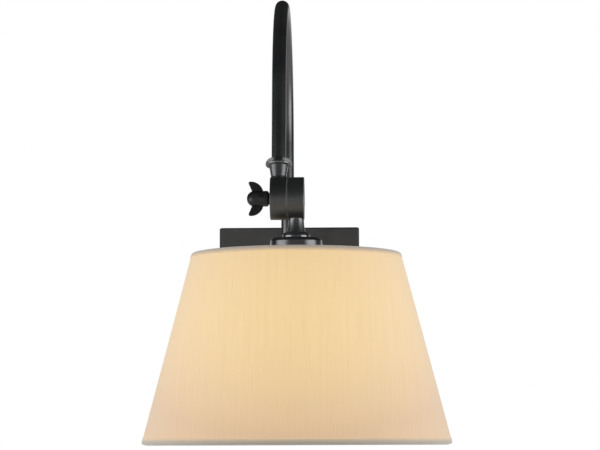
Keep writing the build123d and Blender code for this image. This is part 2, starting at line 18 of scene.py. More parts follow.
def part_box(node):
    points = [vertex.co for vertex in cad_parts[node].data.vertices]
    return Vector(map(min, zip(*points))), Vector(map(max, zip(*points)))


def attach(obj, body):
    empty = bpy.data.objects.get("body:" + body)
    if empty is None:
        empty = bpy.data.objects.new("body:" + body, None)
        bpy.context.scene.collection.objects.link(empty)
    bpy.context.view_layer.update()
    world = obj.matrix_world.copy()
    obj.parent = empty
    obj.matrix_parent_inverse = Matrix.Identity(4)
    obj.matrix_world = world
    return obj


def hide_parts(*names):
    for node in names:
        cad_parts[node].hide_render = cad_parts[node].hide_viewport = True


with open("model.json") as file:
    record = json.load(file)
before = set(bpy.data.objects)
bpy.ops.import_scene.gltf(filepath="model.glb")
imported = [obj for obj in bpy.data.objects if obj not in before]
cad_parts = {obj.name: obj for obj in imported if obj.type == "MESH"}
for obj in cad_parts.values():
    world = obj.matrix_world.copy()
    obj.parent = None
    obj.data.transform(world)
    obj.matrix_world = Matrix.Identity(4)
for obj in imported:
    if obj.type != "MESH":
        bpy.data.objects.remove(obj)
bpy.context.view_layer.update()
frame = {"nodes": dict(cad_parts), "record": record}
nodes = frame["nodes"]
millimetre = 0.001

# %% [markdown]
# ## Camera
# The picture was taken from in front and below the knuckle, with a long lens: the plate on the wall
# is drawn to almost the same scale as the shade, and the shade's edges are shallow curves. The
# place, aim and lens come from fitting the lamp's sizes to their places in the picture. The camera
# is aimed up at the lamp instead of being shifted, so that it can be swung round the lamp for other
# views.

# %% Camera
camera_place = (0.0712, -2.2194, -0.143)
camera_pitch_deg = 5.339
camera_yaw_deg = 1.591
camera_roll_deg = -0.2
camera_lens = 140.68     # on a sensor 36 mm wide

camera_data = bpy.data.cameras.new("camera")
camera_data.sensor_fit = "HORIZONTAL"
camera_data.sensor_width = 36.0
camera_data.lens = camera_lens
camera = bpy.data.objects.new("camera", camera_data)
camera.location = camera_place
level_aim = Euler((math.radians(90 + camera_pitch_deg), 0, math.radians(camera_yaw_deg))).to_matrix()
camera.rotation_euler = (level_aim @ Matrix.Rotation(math.radians(camera_roll_deg), 3, "Z")).to_euler()
bpy.context.collection.objects.link(camera)
bpy.context.scene.camera = camera
bpy.context.scene.view_settings.view_transform = "Standard"
lamp_place = Vector((0, -0.29, 0))
print("camera", round((Vector(camera_place) - lamp_place).length, 2), "m from the lamp")

# %% [markdown]
# ## Writing shader maths as Python
# A finish is a small network of nodes, and wiring it node by node hides the idea. This class wraps
# one output of a node, so that `1 - mask` or `0.3 + 0.1 * grain` adds the Math nodes by itself.
# Every other node comes from one method, `node`, which takes the kind of node, its settings, and a
# value or another wire for each input.


# %% Wire
class Wire:
    """One output of a node. Sums, differences, products and quotients of wires add Math nodes."""

    def __init__(self, socket):
        self.socket = socket
        self.tree = socket.id_data

    def node(self, kind, settings=None, inputs=None, output=0):
        """Add a node to the same tree: its settings first, then a value or a wire for each input."""
        made = self.tree.nodes.new("ShaderNode" + kind)
        for name, value in (settings or {}).items():
            setattr(made, name, value)
        for name, value in (inputs or {}).items():
            if isinstance(value, Wire):
                self.tree.links.new(value.socket, made.inputs[name])
            else:
                made.inputs[name].default_value = value
        return Wire(made.outputs[output])

    def math(self, operation, *values):
        return self.node("Math", {"operation": operation}, dict(enumerate(values)))

    def __add__(self, other):
        return self.math("ADD", self, other)

    def __sub__(self, other):
        return self.math("SUBTRACT", self, other)

    def __rsub__(self, other):
        return self.math("SUBTRACT", other, self)

    def __mul__(self, other):
        return self.math("MULTIPLY", self, other)

    def __truediv__(self, other):
        return self.math("DIVIDE", self, other)

    def __rtruediv__(self, other):
        return self.math("DIVIDE", other, self)

    __radd__ = __add__
    __rmul__ = __mul__

    def larger(self, other):
        return self.math("MAXIMUM", self, other)

    def away_from(self, place):
        """Distance of a value from a place."""
        gap = self - place
        return gap.math("ABSOLUTE", gap)

    def axis(self, letter):
        """One coordinate of a vector."""
        return self.node("SeparateXYZ", None, {0: self}, "XYZ".index(letter))

    def fade(self, start, end):
        """Smooth step of a value, 0 at start and 1 at end."""
        inputs = {"Value": self, "From Min": start, "From Max": end}
        return self.node("MapRange", {"interpolation_type": "SMOOTHSTEP"}, inputs)

    def stretched(self, scale):
        """Vector with each coordinate multiplied by its own number."""
        return self.node("Mapping", None, {"Vector": self, "Scale": scale})

    def noise(self, scale, detail=2.0, roughness=0.5):
        """Cloudy value about 0.5, with marks about 1 / scale long."""
        inputs = {"Vector": self, "Scale": scale, "Detail": detail, "Roughness": roughness}
        return self.node("TexNoise", None, inputs)

    def between(self, first, second):
        """Colour that goes from the first to the second as this value goes from 0 to 1."""
        first, second = (c if isinstance(c, Wire) else (*c, 1.0) for c in (first, second))
        return self.node("Mix", {"data_type": "RGBA"}, {0: self, 6: first, 7: second}, 2)

    def bump(self, distance, strength=1.0):
        """Normal of a surface raised by this value times the distance, in metres."""
        return self.node("Bump", None, {"Height": self, "Distance": distance, "Strength": strength})


# %% [markdown]
# ## Studio
# In the picture the ground is white all round, the metal is nearly black, and every upright round
# piece carries two soft streaks, one on each side of a dark middle. That is two large soft boxes at
# the sides of the lamp, with nothing bright behind the camera, and a white wall behind. The boxes
# end a hand's breadth above the knuckle, so the top of the arm stays dark. A weak wide panel in
# front, level with the lamp, lifts the flat plate a little.
#
# The white ground comes from the world as the camera sees it, and not from more light on the lamp:
# rays of the camera see white, mirror rays see white only behind the lamp, and all other rays get
# an even fill.

# %% World and floor
fill_level = 0.66
dark_room_level = 0.018
wall_begins = (0.62, 0.86)     # how far towards the wall a mirror ray points where white begins and is full
wall_ends = (0.12, 0.30)       # how far up it points where white weakens and is gone

world = bpy.data.worlds.new("studio")
world.use_nodes = True
bpy.context.scene.world = world
world_nodes = world.node_tree.nodes
ray = world_nodes.new("ShaderNodeLightPath").outputs
direction = Wire(world_nodes.new("ShaderNodeTexCoord").outputs["Generated"])
behind_lamp = direction.axis("Y").fade(*wall_begins) * (1 - direction.axis("Z").fade(*wall_ends))
seen_white = Wire(ray["Is Camera Ray"]).larger(Wire(ray["Is Transmission Ray"]))
mirrored = Wire(ray["Is Glossy Ray"]) * (1 - seen_white)
plain = 1 - seen_white.larger(mirrored)
mirror_level = dark_room_level + (1 - dark_room_level) * behind_lamp
level = seen_white + mirrored * mirror_level + plain * fill_level
background = world_nodes["Background"]
background.inputs["Color"].default_value = (1.0, 1.0, 1.0, 1.0)
world.node_tree.links.new(level.socket, background.inputs["Strength"])

floor_radius = 11.0
floor_level = -1.5
floor_middle = (0, -0.2, floor_level)
bpy.ops.mesh.primitive_circle_add(vertices=160, radius=floor_radius, fill_type="NGON", location=floor_middle)
floor = bpy.context.active_object
floor.name = "floor"
print("round floor of", floor_radius, "m at", floor_level, "m")

# %% Soft boxes
lamp_middle = Vector((0.0145, -0.292, -0.02))


def soft_box(name, azimuth_deg, distance, width, height, lift, radiance):
    """Rectangle of light aimed at the lamp, at an angle from the camera's side, with its middle lifted."""
    data = bpy.data.lights.new(name, "AREA")
    data.shape = "RECTANGLE"
    data.size = width
    data.size_y = height
    data.energy = radiance * math.pi * width * height
    turn = math.radians(azimuth_deg)
    box = bpy.data.objects.new(name, data)
    target = lamp_middle + Vector((0, 0, lift))
    box.location = target + Vector((math.sin(turn), -math.cos(turn), 0)) * distance
    aim = target - box.location
    box.rotation_euler = aim.to_track_quat("-Z", "Y").to_euler()
    box.visible_camera = False
    bpy.context.collection.objects.link(box)


side_box = {"distance": 0.8, "width": 0.72, "height": 0.52, "lift": -0.06}
front_box = {"distance": 1.4, "width": 1.6, "height": 0.42, "lift": 0.0}
soft_box("left_box", azimuth_deg=-66, radiance=3.05, **side_box)
soft_box("right_box", azimuth_deg=70, radiance=3.2, **side_box)
soft_box("front_panel", azimuth_deg=0, radiance=0.34, **front_box)
print("two side boxes and a weak front panel")

# %% [markdown]
# ## Making a finish
# Each finish starts in the same way: a material whose constant numbers are set on the shader's own
# sockets, and a wire of Object coordinates, which are metres in the lamp's frame and ride with each
# piece when a joint moves.


# %% Helpers for finishes
def begin(name, constants):
    """New material: its shader with the constants set, and a wire of Object coordinates."""
    material = bpy.data.materials.new(name)
    material.use_nodes = True
    shader = material.node_tree.nodes["Principled BSDF"]
    for socket, value in constants.items():
        shader.inputs[socket].default_value = value
    place = Wire(material.node_tree.nodes.new("ShaderNodeTexCoord").outputs["Object"])
    return material, shader, place


def feed(shader, **wires):
    """Link wires to sockets, whose names are written with _ for a space."""
    for name, wire in wires.items():
        wire.tree.links.new(wire.socket, shader.inputs[name.replace("_", " ")])


def paint(material, *names):
    """Give CAD nodes their finish."""
    for name in names:
        nodes[name].data.materials.clear()
        nodes[name].data.materials.append(material)
    print(material.name, "on", ", ".join(names))


def centre_of(name):
    """Middle of a node's box."""
    low, high = (Vector(corner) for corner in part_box(name))
    return (low + high) / 2


def radius_round(place, centre, letter):
    """Distance of a point from the line through the centre along an axis."""
    flat = [0.0 if axis == letter else 1.0 for axis in "XYZ"]
    offset = place.node("VectorMath", {"operation": "SUBTRACT"}, {0: place, 1: centre})
    offset = place.node("VectorMath", {"operation": "MULTIPLY"}, {0: offset, 1: flat})
    return place.node("VectorMath", {"operation": "LENGTH"}, {0: offset}, 1)


def level_along(place, centre, direction):
    """How far a point lies from the centre along a direction of length 1."""
    offset = place.node("VectorMath", {"operation": "SUBTRACT"}, {0: place, 1: centre})
    return place.node("VectorMath", {"operation": "DOT_PRODUCT"}, {0: offset, 1: direction}, 1)


# %% [markdown]
# ## Dark bronze
# The plate, arm, knuckle and cup carry a satin bronze that is nearly black. It is a thin baked
# coat: a dark body under a gloss with a slightly cool tint, a little cloudy, with a fine orange
# peel. In the picture some pieces mirror the soft boxes more than others, so each has its own gloss
# index and roughness. The index stands for how bright the gloss is, and on some pieces it is higher
# than that of a real lacquer.
#
# Handling thins the coat along edges, where a paler tone shows. The lip of the ferrule carries a
# painted highlight on its upper half at the left and right: a pale tone with some metallic gloss.
# Edges lie on the faces of a piece's own box or at a known radius, so wear is a distance to those
# places, which stays sharp at any resolution. A painted mask would not.

# %% Dark bronze
bronze_dark = (0.0062, 0.0067, 0.0076)
bronze_cloud = (0.0112, 0.0117, 0.0125)
bronze_worn = (0.036, 0.035, 0.032)
# painted highlight: the pale tone put on the lip of the ferrule
painted_highlight_tone = (0.56, 0.55, 0.52)
cool_gloss = (0.95, 0.98, 1.0, 1.0)


def dark_bronze(name, wear=(), roughness=0.34, gloss_index=2.05, painted_highlight=None):
    """Bronze coat. Wear is a list of functions, each of which makes a mask from the coordinates.

    The last argument is one more such function, for a painted highlight: pale, with some metallic gloss."""
    material, shader, place = begin("bronze_" + name, {"IOR": gloss_index, "Specular Tint": cool_gloss})
    cloud = place.noise(38.0, 4.0, 0.55)
    grain = place.noise(1500.0, 2.0, 0.6)
    patches = place.noise(260.0, 3.0, 0.6)
    colour = cloud.fade(0.35, 0.7).between(bronze_dark, bronze_cloud)
    rough = roughness + 0.10 * (cloud - 0.5) + 0.05 * (patches - 0.5)
    if wear:
        worn = wear[0](place)
        for mask in wear[1:]:
            worn = worn.larger(mask(place))
        worn = worn * patches.fade(0.38, 0.62)
        colour = (0.5 * worn).between(colour, bronze_worn)
        rough = rough - 0.06 * worn
    # painted highlight: a pale tone with some metallic gloss where the mask is
    if painted_highlight:
        highlight_mask = painted_highlight(place) * (0.75 + 0.25 * patches.fade(0.38, 0.62))
        colour = highlight_mask.between(colour, painted_highlight_tone)
        rough = rough + 0.08 * highlight_mask
        feed(shader, Metallic=0.55 * highlight_mask)
    feed(shader, Base_Color=colour, Roughness=rough, Normal=grain.bump(0.00002, 0.35))
    return material


def near_face(name, letter, side, width):
    """Mask that is 1 on the low or high face of a node's box and fades out over the width."""
    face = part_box(name)[side]["XYZ".index(letter)]
    return lambda place: 1 - place.axis(letter).away_from(face).fade(0.0, width)


def near_radius(name, letter, radius, width):
    """Mask that is 1 at a radius round the middle of a node and fades out over the width."""
    centre = centre_of(name)
    return lambda place: 1 - radius_round(place, centre, letter).away_from(radius).fade(0.0, width)


def above_level(centre, direction, start, end):
    """Mask that goes from 0 to 1 between two levels along a direction."""
    return lambda place: level_along(place, centre, direction).fade(start, end)


# %% Bronze on the plate and arm
edge = 0.9 * millimetre
plate_edge = 1.4 * millimetre
seat_edge_radius = 15.3 * millimetre
plate_edges = [near_face("backplate", letter, side, plate_edge) for letter in "XZ" for side in (0, 1)]
paint(dark_bronze("plate", plate_edges, roughness=0.42), "backplate")
paint(dark_bronze("arm", roughness=0.33), "arm_tube")
paint(dark_bronze("seat", [near_radius("arm_seat", "Y", seat_edge_radius, edge)]), "arm_seat")
paint(dark_bronze("cap_nuts", [near_face("cap_nuts", "Y", 0, edge)]), "cap_nuts")

# %% Bronze on the knuckle and head
all_joints = frame["record"]["behaviour"]["joints"]
tilt_joint = next(joint for joint in all_joints if joint["name"] == "head_tilt")
knuckle_centre = Vector(tilt_joint["pos_m"])
leg_slant = math.radians(11)
up_the_leg = Vector((0, math.sin(leg_slant), math.cos(leg_slant)))
lip_middle = (29.6 * millimetre, 30.6 * millimetre)     # from the knuckle up the leg
lip_side = (2.5 * millimetre, 6.5 * millimetre)         # from the middle to the left and right
lip_top = above_level(knuckle_centre, up_the_leg, *lip_middle)


def lip_sides(place):
    """Mask of the lip's upper half, at its left and right, where a highlight is painted."""
    return lip_top(place) * place.axis("X").away_from(knuckle_centre.x).fade(*lip_side)


# the lip of the ferrule gets a painted highlight at its left and right
paint(dark_bronze("ferrule", gloss_index=2.35, painted_highlight=lip_sides), "arm_ferrule")
for disc in ("arm_knuckle", "head_knuckle"):
    disc_edges = [near_face(disc, "X", side, edge) for side in (0, 1)]
    paint(dark_bronze(disc, disc_edges, roughness=0.44, gloss_index=1.92), disc)
wing_edges = [near_face("wing_nut", letter, side, 2 * edge) for letter in "YZ" for side in (0, 1)]
paint(dark_bronze("wing_nut", wing_edges, roughness=0.36, gloss_index=1.42), "wing_nut")
paint(dark_bronze("neck", gloss_index=2.6), "neck")
paint(dark_bronze("collar", roughness=0.27, gloss_index=2.95), "neck_collar")
cup_edge = [near_face("socket_cup", "Z", 0, edge)]
paint(dark_bronze("cup", cup_edge, roughness=0.30, gloss_index=2.2), "socket_cup")

# %% [markdown]
# ## Plated and turned metal
# Behind the plate are a zinc plated strap, nuts and a lock washer, and a green ground screw. Zinc
# plate is a bright grey with a slightly blue and yellow bloom and small crystals. The pivot bolt is
# black oxide, the socket's shell is brass, and the bulb's cap is drawn aluminium. All are metals,
# so the colour is the colour of their reflections.


# %% Zinc, steel, brass and aluminium
def metal(name, low, high, roughness, bloom_scale, crystal_scale):
    """Bare or plated metal: colour drifts between two tones, with crystals that change its gloss."""
    material, shader, place = begin(name, {"Metallic": 1.0})
    bloom = place.noise(bloom_scale, 3.0, 0.6)
    crystals = place.node("TexVoronoi", None, {"Vector": place, "Scale": crystal_scale}, 1)
    sparkle = crystals.axis("X")
    rough = roughness + 0.12 * (bloom - 0.5) + 0.10 * (sparkle - 0.5)
    scratches = place.stretched((2600.0, 300.0, 2600.0)).noise(1.0, 3.0)
    feed(
        shader,
        Base_Color=bloom.fade(0.3, 0.7).between(low, high),
        Roughness=rough,
        Normal=scratches.bump(0.00001, 0.4),
    )
    return material


zinc = metal("zinc_plate", (0.50, 0.51, 0.53), (0.66, 0.64, 0.57), 0.36, 90.0, 900.0)
paint(zinc, "mounting_strap", "stud_nuts", "arm_nipple", "lock_washer", "lock_nut")
paint(zinc, "socket_nipple", "cup_nut")
black_oxide = metal("black_oxide", (0.020, 0.020, 0.022), (0.045, 0.043, 0.042), 0.38, 300.0, 1500.0)
paint(black_oxide, "pivot_bolt", "clamp_washer")
brass = metal("brass", (0.66, 0.47, 0.19), (0.76, 0.57, 0.27), 0.26, 120.0, 700.0)
paint(brass, "screw_shell", "centre_contact")
bulb_metal = metal("bulb_metal", (0.72, 0.72, 0.71), (0.82, 0.81, 0.79), 0.24, 140.0, 800.0)
paint(bulb_metal, "bulb_cap", "bulb_contact")

# %% Green ground screw
ground_green, ground_shader, ground_place = begin("ground_green", {"Metallic": 0.8})
ground_cloud = ground_place.noise(500.0, 3.0)
feed(
    ground_shader,
    Base_Color=ground_cloud.fade(0.3, 0.7).between((0.03, 0.22, 0.06), (0.07, 0.36, 0.10)),
    Roughness=0.30 + 0.12 * (ground_cloud - 0.5),
    Normal=ground_place.noise(3000.0).bump(0.00001, 0.4),
)
paint(ground_green, "ground_screw")

# %% [markdown]
# ## Moulded, fibrous and enamelled pieces
# The socket, its key and the ring nut under the shade are phenolic, a dark moulding with a fine
# mottle. The insulator under the bulb's cap is black glass. The friction ring is grey pressed
# fibre, and the wire frame inside the shade has white enamel. One function makes them all, since
# they differ only in tone, gloss and the size of their mottle.


# %% Mouldings and enamel
def moulded(name, low, high, roughness, mottle_scale, peel):
    """Coat or moulding: mottled colour and gloss, with a raised grain peel metres high."""
    material, shader, place = begin(name, {})
    mottle = place.noise(mottle_scale, 4.0, 0.6)
    feed(
        shader,
        Base_Color=mottle.fade(0.3, 0.7).between(low, high),
        Roughness=roughness + 0.14 * (mottle - 0.5),
        Normal=place.noise(mottle_scale * 6, 2.0).bump(peel, 0.5),
    )
    return material


phenolic = moulded("phenolic", (0.012, 0.010, 0.009), (0.035, 0.024, 0.018), 0.28, 400.0, 0.00001)
paint(phenolic, "socket_body", "switch_key", "shade_ring_nut")
black_glass = moulded("black_glass", (0.010, 0.010, 0.014), (0.020, 0.018, 0.026), 0.10, 300.0, 0.000004)
paint(black_glass, "bulb_insulator")
pressed_fibre = moulded("pressed_fibre", (0.11, 0.11, 0.105), (0.20, 0.195, 0.19), 0.80, 1200.0, 0.00004)
paint(pressed_fibre, "friction_ring")
enamel = moulded("white_enamel", (0.72, 0.71, 0.68), (0.80, 0.79, 0.76), 0.30, 350.0, 0.00002)
paint(enamel, "top_wire", "bottom_wire", "shade_spokes", "shade_fitter")

# %% [markdown]
# ## Cable
# The lead inside the arm is a round black jacket over three cores. Its end is cut square behind the
# plate, where the supply is joined, so the cut shows a black, a white and a green core, each with
# bright copper in its middle. The cores are circles round three points of the cut, drawn by
# distance, and they stop a hair below the end.

# %% Cable jacket and cores
core_offset = 1.25 * millimetre
core_radius = 0.95 * millimetre
copper_radius = 0.55 * millimetre
core_rim = 0.06 * millimetre
end_depth = (0.05 * millimetre, 0.15 * millimetre)
copper_colour = (0.80, 0.42, 0.24)
core_colours = [(0.015, 0.015, 0.015), (0.70, 0.69, 0.66), (0.05, 0.26, 0.09)]


def cable_jacket():
    """Black jacket with three coloured cores on its end at the wall."""
    material, shader, place = begin("cable_jacket", {})
    skin = place.noise(500.0, 3.0, 0.6)
    colour = skin.fade(0.3, 0.7).between((0.012, 0.012, 0.012), (0.025, 0.025, 0.024))
    wall_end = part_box("arm_cable")[1][1]
    on_end = 1 - place.axis("Y").away_from(wall_end).fade(*end_depth)
    for number, core_colour in enumerate(core_colours):
        turn = math.radians(90 + 120 * number)
        core_place = Vector((core_offset * math.cos(turn), 0.0, core_offset * math.sin(turn)))
        from_core = radius_round(place, core_place, "Y")
        core = on_end * (1 - from_core.fade(core_radius - core_rim, core_radius))
        copper = on_end * (1 - from_core.fade(copper_radius - core_rim, copper_radius))
        colour = copper.between(core.between(colour, core_colour), copper_colour)
    feed(shader, Base_Color=colour, Roughness=0.50 + 0.15 * (skin - 0.5), Normal=skin.bump(0.00003, 0.5))
    return material


paint(cable_jacket(), "arm_cable", "head_cable")

# %% [markdown]
# ## The lit bulb
# The globe is frosted glass and it is on. It glows most from its middle down, and weaker and more
# orange at the neck. The glass itself shines, so the light moves with the head, and it lights the
# liner and the wire frame.

# %% Frosted bulb
glass_low, glass_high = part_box("bulb_glass")
globe_radius = (glass_high[0] - glass_low[0]) / 2
globe_centre = centre_of("bulb_glass")
globe_centre.z = glass_low[2] + globe_radius
frosted, frosted_shader, frosted_place = begin("bulb_frost", {"Roughness": 0.35, "Emission Strength": 0.95})
glass_height = frosted_place.axis("Z")
glow = 1 - glass_height.fade(globe_centre.z, glass_high[2])
frost = frosted_place.noise(2200.0, 2.0)
feed(
    frosted_shader,
    Base_Color=frost.between((0.62, 0.60, 0.56), (0.70, 0.68, 0.64)),
    Emission_Color=glow.between((0.55, 0.36, 0.16), (1.0, 0.82, 0.54)),
    Normal=frost.bump(0.00001, 0.4),
)
paint(frosted, "bulb_glass")

# %% [markdown]
# ## Laying a grid of points into a mesh
# The cloth and the tapes are strips that go once round the shade and overlap themselves a little at
# the back, as the real ones do. Such a strip is a grid of points: one index runs round, the other
# across. The helper below turns any such grid into a mesh with whole arrays, together with a UV map
# in metres, which the weave then follows.


# %% Grid to piece
def grid_piece(name, places, flat=None, joined=False):
    """Mesh from a grid of points (round, across, 3), with their places on the flat cloth (round, across, 2).

    A joined grid goes on from its last row to its first one."""
    rounds, across = places.shape[:2]
    index = np.arange(rounds * across).reshape(rounds, across)
    if joined:
        index = np.vstack([index, index[:1]])
    corners = [index[:-1, :-1], index[1:, :-1], index[1:, 1:], index[:-1, 1:]]
    corners = np.stack(corners, axis=-1).reshape(-1, 4)
    mesh = bpy.data.meshes.new(name)
    mesh.vertices.add(places.size // 3)
    mesh.vertices.foreach_set("co", places.astype(np.float32).ravel())
    mesh.loops.add(corners.size)
    mesh.loops.foreach_set("vertex_index", corners.astype(np.int32).ravel())
    mesh.polygons.add(len(corners))
    mesh.polygons.foreach_set("loop_start", np.arange(0, corners.size, 4, dtype=np.int32))
    mesh.polygons.foreach_set("use_smooth", np.ones(len(corners), dtype=bool))
    mesh.update(calc_edges=True)
    if flat is not None:
        on_cloth = flat.reshape(-1, 2)[corners.ravel()].astype(np.float32)
        mesh.uv_layers.new(name="cloth").data.foreach_set("uv", on_cloth.ravel())
    mesh.validate()
    piece = bpy.data.objects.new(name, mesh)
    bpy.context.collection.objects.link(piece)
    print(name, len(corners), "faces")
    return piece


def thicken(piece, thickness):
    """Give a strip its thickness, inwards from the face that was laid."""
    solid = piece.modifiers.new("thickness", "SOLIDIFY")
    solid.thickness = thickness
    solid.offset = -1.0
    solid.use_quality_normals = True


# %% [markdown]
# ## Where the shade's cloth lies
# The cover is a cone. Its upper and lower edges are read from the solid, so that the cloth lies
# where the solid is. A point on it is given by a turn round the head's axis, a distance down the
# slope from the upper edge, and a height above the cloth. The seam is at the back, towards the
# wall.

# %% The cone of the shade
cover_mesh = nodes["shade_cover"].data
cover_points = np.empty(len(cover_mesh.vertices) * 3, dtype=np.float32)
cover_mesh.vertices.foreach_get("co", cover_points)
cover_points = cover_points.reshape(-1, 3)
shade_axis = centre_of("shade_cover")
cover_radius = np.hypot(cover_points[:, 0] - shade_axis.x, cover_points[:, 1] - shade_axis.y)
is_top = cover_points[:, 2] > cover_points[:, 2].max() - 2 * millimetre
top_index = np.flatnonzero(is_top)[cover_radius[is_top].argmax()]
low_index = cover_radius.argmax()
top_radius, top_height = cover_radius[top_index], cover_points[top_index, 2]
low_radius, low_height = cover_radius[low_index], cover_points[low_index, 2]
slope_length = math.hypot(low_radius - top_radius, top_height - low_height)
slope_out = (low_radius - top_radius) / slope_length
slope_down = (top_height - low_height) / slope_length
seam_turn = math.pi / 2
print("cloth", round(slope_length, 4), "m long down the slope")
print("radius", round(top_radius, 4), "to", round(low_radius, 4), "m")


def on_shade(turn, down, out):
    """Point at a turn from +X, a distance down the slope and a height above the cloth."""
    radius = top_radius + down * slope_out + out * slope_down
    height = top_height - down * slope_down + out * slope_out
    x = shade_axis.x + radius * np.cos(turn)
    y = shade_axis.y + radius * np.sin(turn)
    return np.stack(np.broadcast_arrays(x, y, height), axis=-1)


def smooth(value, start, end):
    """Smooth step from 0 at start to 1 at end, on arrays."""
    part = np.clip((value - start) / (end - start), 0, 1)
    return part * part * (3 - 2 * part)


# %% [markdown]
# ## Cloth of the shade
# The cover is slubbed linen bonded to a stiff liner. Its warp runs down the shade, and thick places
# in the yarn show as faint upright lines. One sheet is cut as a part of a ring, rolled into a cone
# and glued where its ends overlap at the back. The sheet is a grid round and down the cone, and its
# last part is lifted over its first by one thickness. It stops a little inside each edge, so that
# only the tape shows there. The UV map is the flat cut, in metres. The sheet is stretched and glued
# down, so it is laid by formula and needs no cloth simulation.

# %% Cover
cover_thickness = 0.65 * millimetre
lap_width = 12 * millimetre
mean_radius = (top_radius + low_radius) / 2
lap_turn = lap_width / mean_radius
under_tape = 1.3 * millimetre
pull_height = 0.12 * millimetre
pulls_round = 7
pull_start = 1.1
cloth_sink = 0.05 * millimetre
round_steps = 460
down_steps = 46
turn = seam_turn + np.linspace(0, 2 * math.pi + lap_turn, round_steps)[:, None]
down = np.linspace(under_tape, slope_length - under_tape, down_steps)[None, :]
past_seam = (turn - seam_turn - 2 * math.pi) * mean_radius
lift = cover_thickness * smooth(past_seam, -3 * millimetre, 0.5 * millimetre)
pull = pull_height * np.sin(pulls_round * turn + pull_start) * np.sin(math.pi * down / slope_length)
cloth_places = on_shade(turn, down, lift + pull - cloth_sink)
from_point = top_radius / slope_out + down
cut_angle = (turn - seam_turn - math.pi) * slope_out
cloth_flat = np.stack([from_point * np.sin(cut_angle), from_point * np.cos(cut_angle)], axis=-1)
cover = grid_piece("linen_cover", cloth_places, cloth_flat)
thicken(cover, cover_thickness)
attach(cover, "lamp_head")
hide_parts("shade_cover")
half_cut = (math.pi + lap_turn / 2) * slope_out
cut_inner, cut_outer = from_point.min(), from_point.max()
cut_width = 2 * cut_outer * math.sin(half_cut)
cut_length = cut_outer - cut_inner * math.cos(half_cut)
cut_area = half_cut * (cut_outer ** 2 - cut_inner ** 2)
print("cover cut from", round(cut_width, 3), "by", round(cut_length, 3), "m")
print("area", round(cut_area, 4), "m2")

# %% [markdown]
# ## Tapes
# Both edges are bound with a tape of the same linen, folded over the edge and its wire hoop. In
# section the tape is a U with soft corners. The section is laid out once as a path of straight legs
# and quarter circles and carried round the shade. The tape rises over the doubled cloth at the
# seam, and its own end is lapped over its start.

# %% Tape section
tape_width = 4.2 * millimetre
tape_depth = 5.2 * millimetre
tape_corner = 1.5 * millimetre
tape_outer = 0.30 * millimetre
tape_puff = 0.22 * millimetre


def tape_section(width, depth, corner, steps):
    """U-shaped path as (distance from the edge, height above the cloth): leg, corner, floor, corner, leg."""
    outer = tape_outer
    bend = np.linspace(0, math.pi / 2, steps)
    leg = np.linspace(0, 1, steps)
    puff = tape_puff * np.sin(math.pi * leg)
    outer_leg = np.stack([width + (corner - width) * leg, outer + puff], axis=1)
    first = np.stack([corner - corner * np.sin(bend), outer - corner + corner * np.cos(bend)], axis=1)
    inner = outer - depth
    second = np.stack([corner - corner * np.cos(bend), inner + corner - corner * np.sin(bend)], axis=1)
    inner_leg = np.stack([corner + (width - corner) * leg, np.full(steps, inner)], axis=1)
    return np.concatenate([outer_leg, first[1:], second, inner_leg[1:]])


# %% Edge tapes
lap_clearance = 0.1 * millimetre
tape_start = 0.2     # radians past the seam
tape_lap = 8 * millimetre
tape_lap_height = 0.5 * millimetre
tape_overhang = 0.5 * millimetre
tape_thickness = 0.45 * millimetre
tape_wander = 0.03


def over_cloth_lap(turn):
    """Rise of a tape over the doubled cloth: up before the seam, level over the lap, down after its end."""
    after_seam = (np.mod(turn - seam_turn + math.pi, 2 * math.pi) - math.pi) * mean_radius
    up = smooth(after_seam, -4 * millimetre, 0)
    end = lap_width * low_radius / mean_radius
    return (cover_thickness + lap_clearance) * (up - smooth(after_seam, end, end + 3 * millimetre))


def tape(name, node, at_bottom):
    """Tape carried round one edge of the shade, which wanders a little in width as a hand-rolled one does."""
    section = tape_section(tape_width, tape_depth, tape_corner, 6)
    turn = seam_turn + tape_start + np.linspace(0, 2 * math.pi + tape_lap / top_radius, round_steps)[:, None]
    along = section[None, :, 0]
    out = section[None, :, 1]
    waves = np.sin(5 * turn + 0.4) + 0.6 * np.sin(13 * turn + 2.0) + 0.4 * np.sin(29 * turn)
    along = along * (1 + tape_wander * waves) - tape_overhang
    past = (turn - seam_turn - tape_start - 2 * math.pi) * top_radius
    outside = smooth(out, -1.0 * millimetre, 0.2 * millimetre)
    own_lap = tape_lap_height * smooth(past, -2 * millimetre, 0.5 * millimetre)
    out = out + outside * (own_lap + over_cloth_lap(turn))
    down = slope_length - along if at_bottom else along
    places = on_shade(turn, down, out)
    steps_across = np.hypot(*np.diff(section, axis=0).T)
    length_across = np.concatenate([[0], steps_across.cumsum()])[None, :]
    flat = np.stack(np.broadcast_arrays((turn - seam_turn) * top_radius, length_across), axis=-1)
    if not at_bottom:
        places, flat = places[:, ::-1], flat[:, ::-1]
    piece = grid_piece(name, places, flat)
    thicken(piece, tape_thickness)
    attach(piece, "lamp_head")
    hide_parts(node)
    return piece


top_tape = tape("top_tape", "top_trim", at_bottom=False)
bottom_tape = tape("bottom_tape", "bottom_trim", at_bottom=True)

# %% [markdown]
# ## Linen, unlit and lit
# The weave follows the flat cut of the cloth. Warp threads are a noise that is stretched along the
# cloth, weft threads one that is stretched across it, and slubs a coarser stretched noise of which
# only the peaks are kept. The sheen is weak, because a strong one turns the sides of the cone
# white.
#
# On the cover the bulb shines through: a yellow glow a third of the way down, which gets weaker and
# more orange above, below and to the left and right of there. The loss to the sides is fitted to
# the picture's view. Thick threads let less light through. On the tapes, which are more layers of
# linen, the glow fades from the border to the fold.

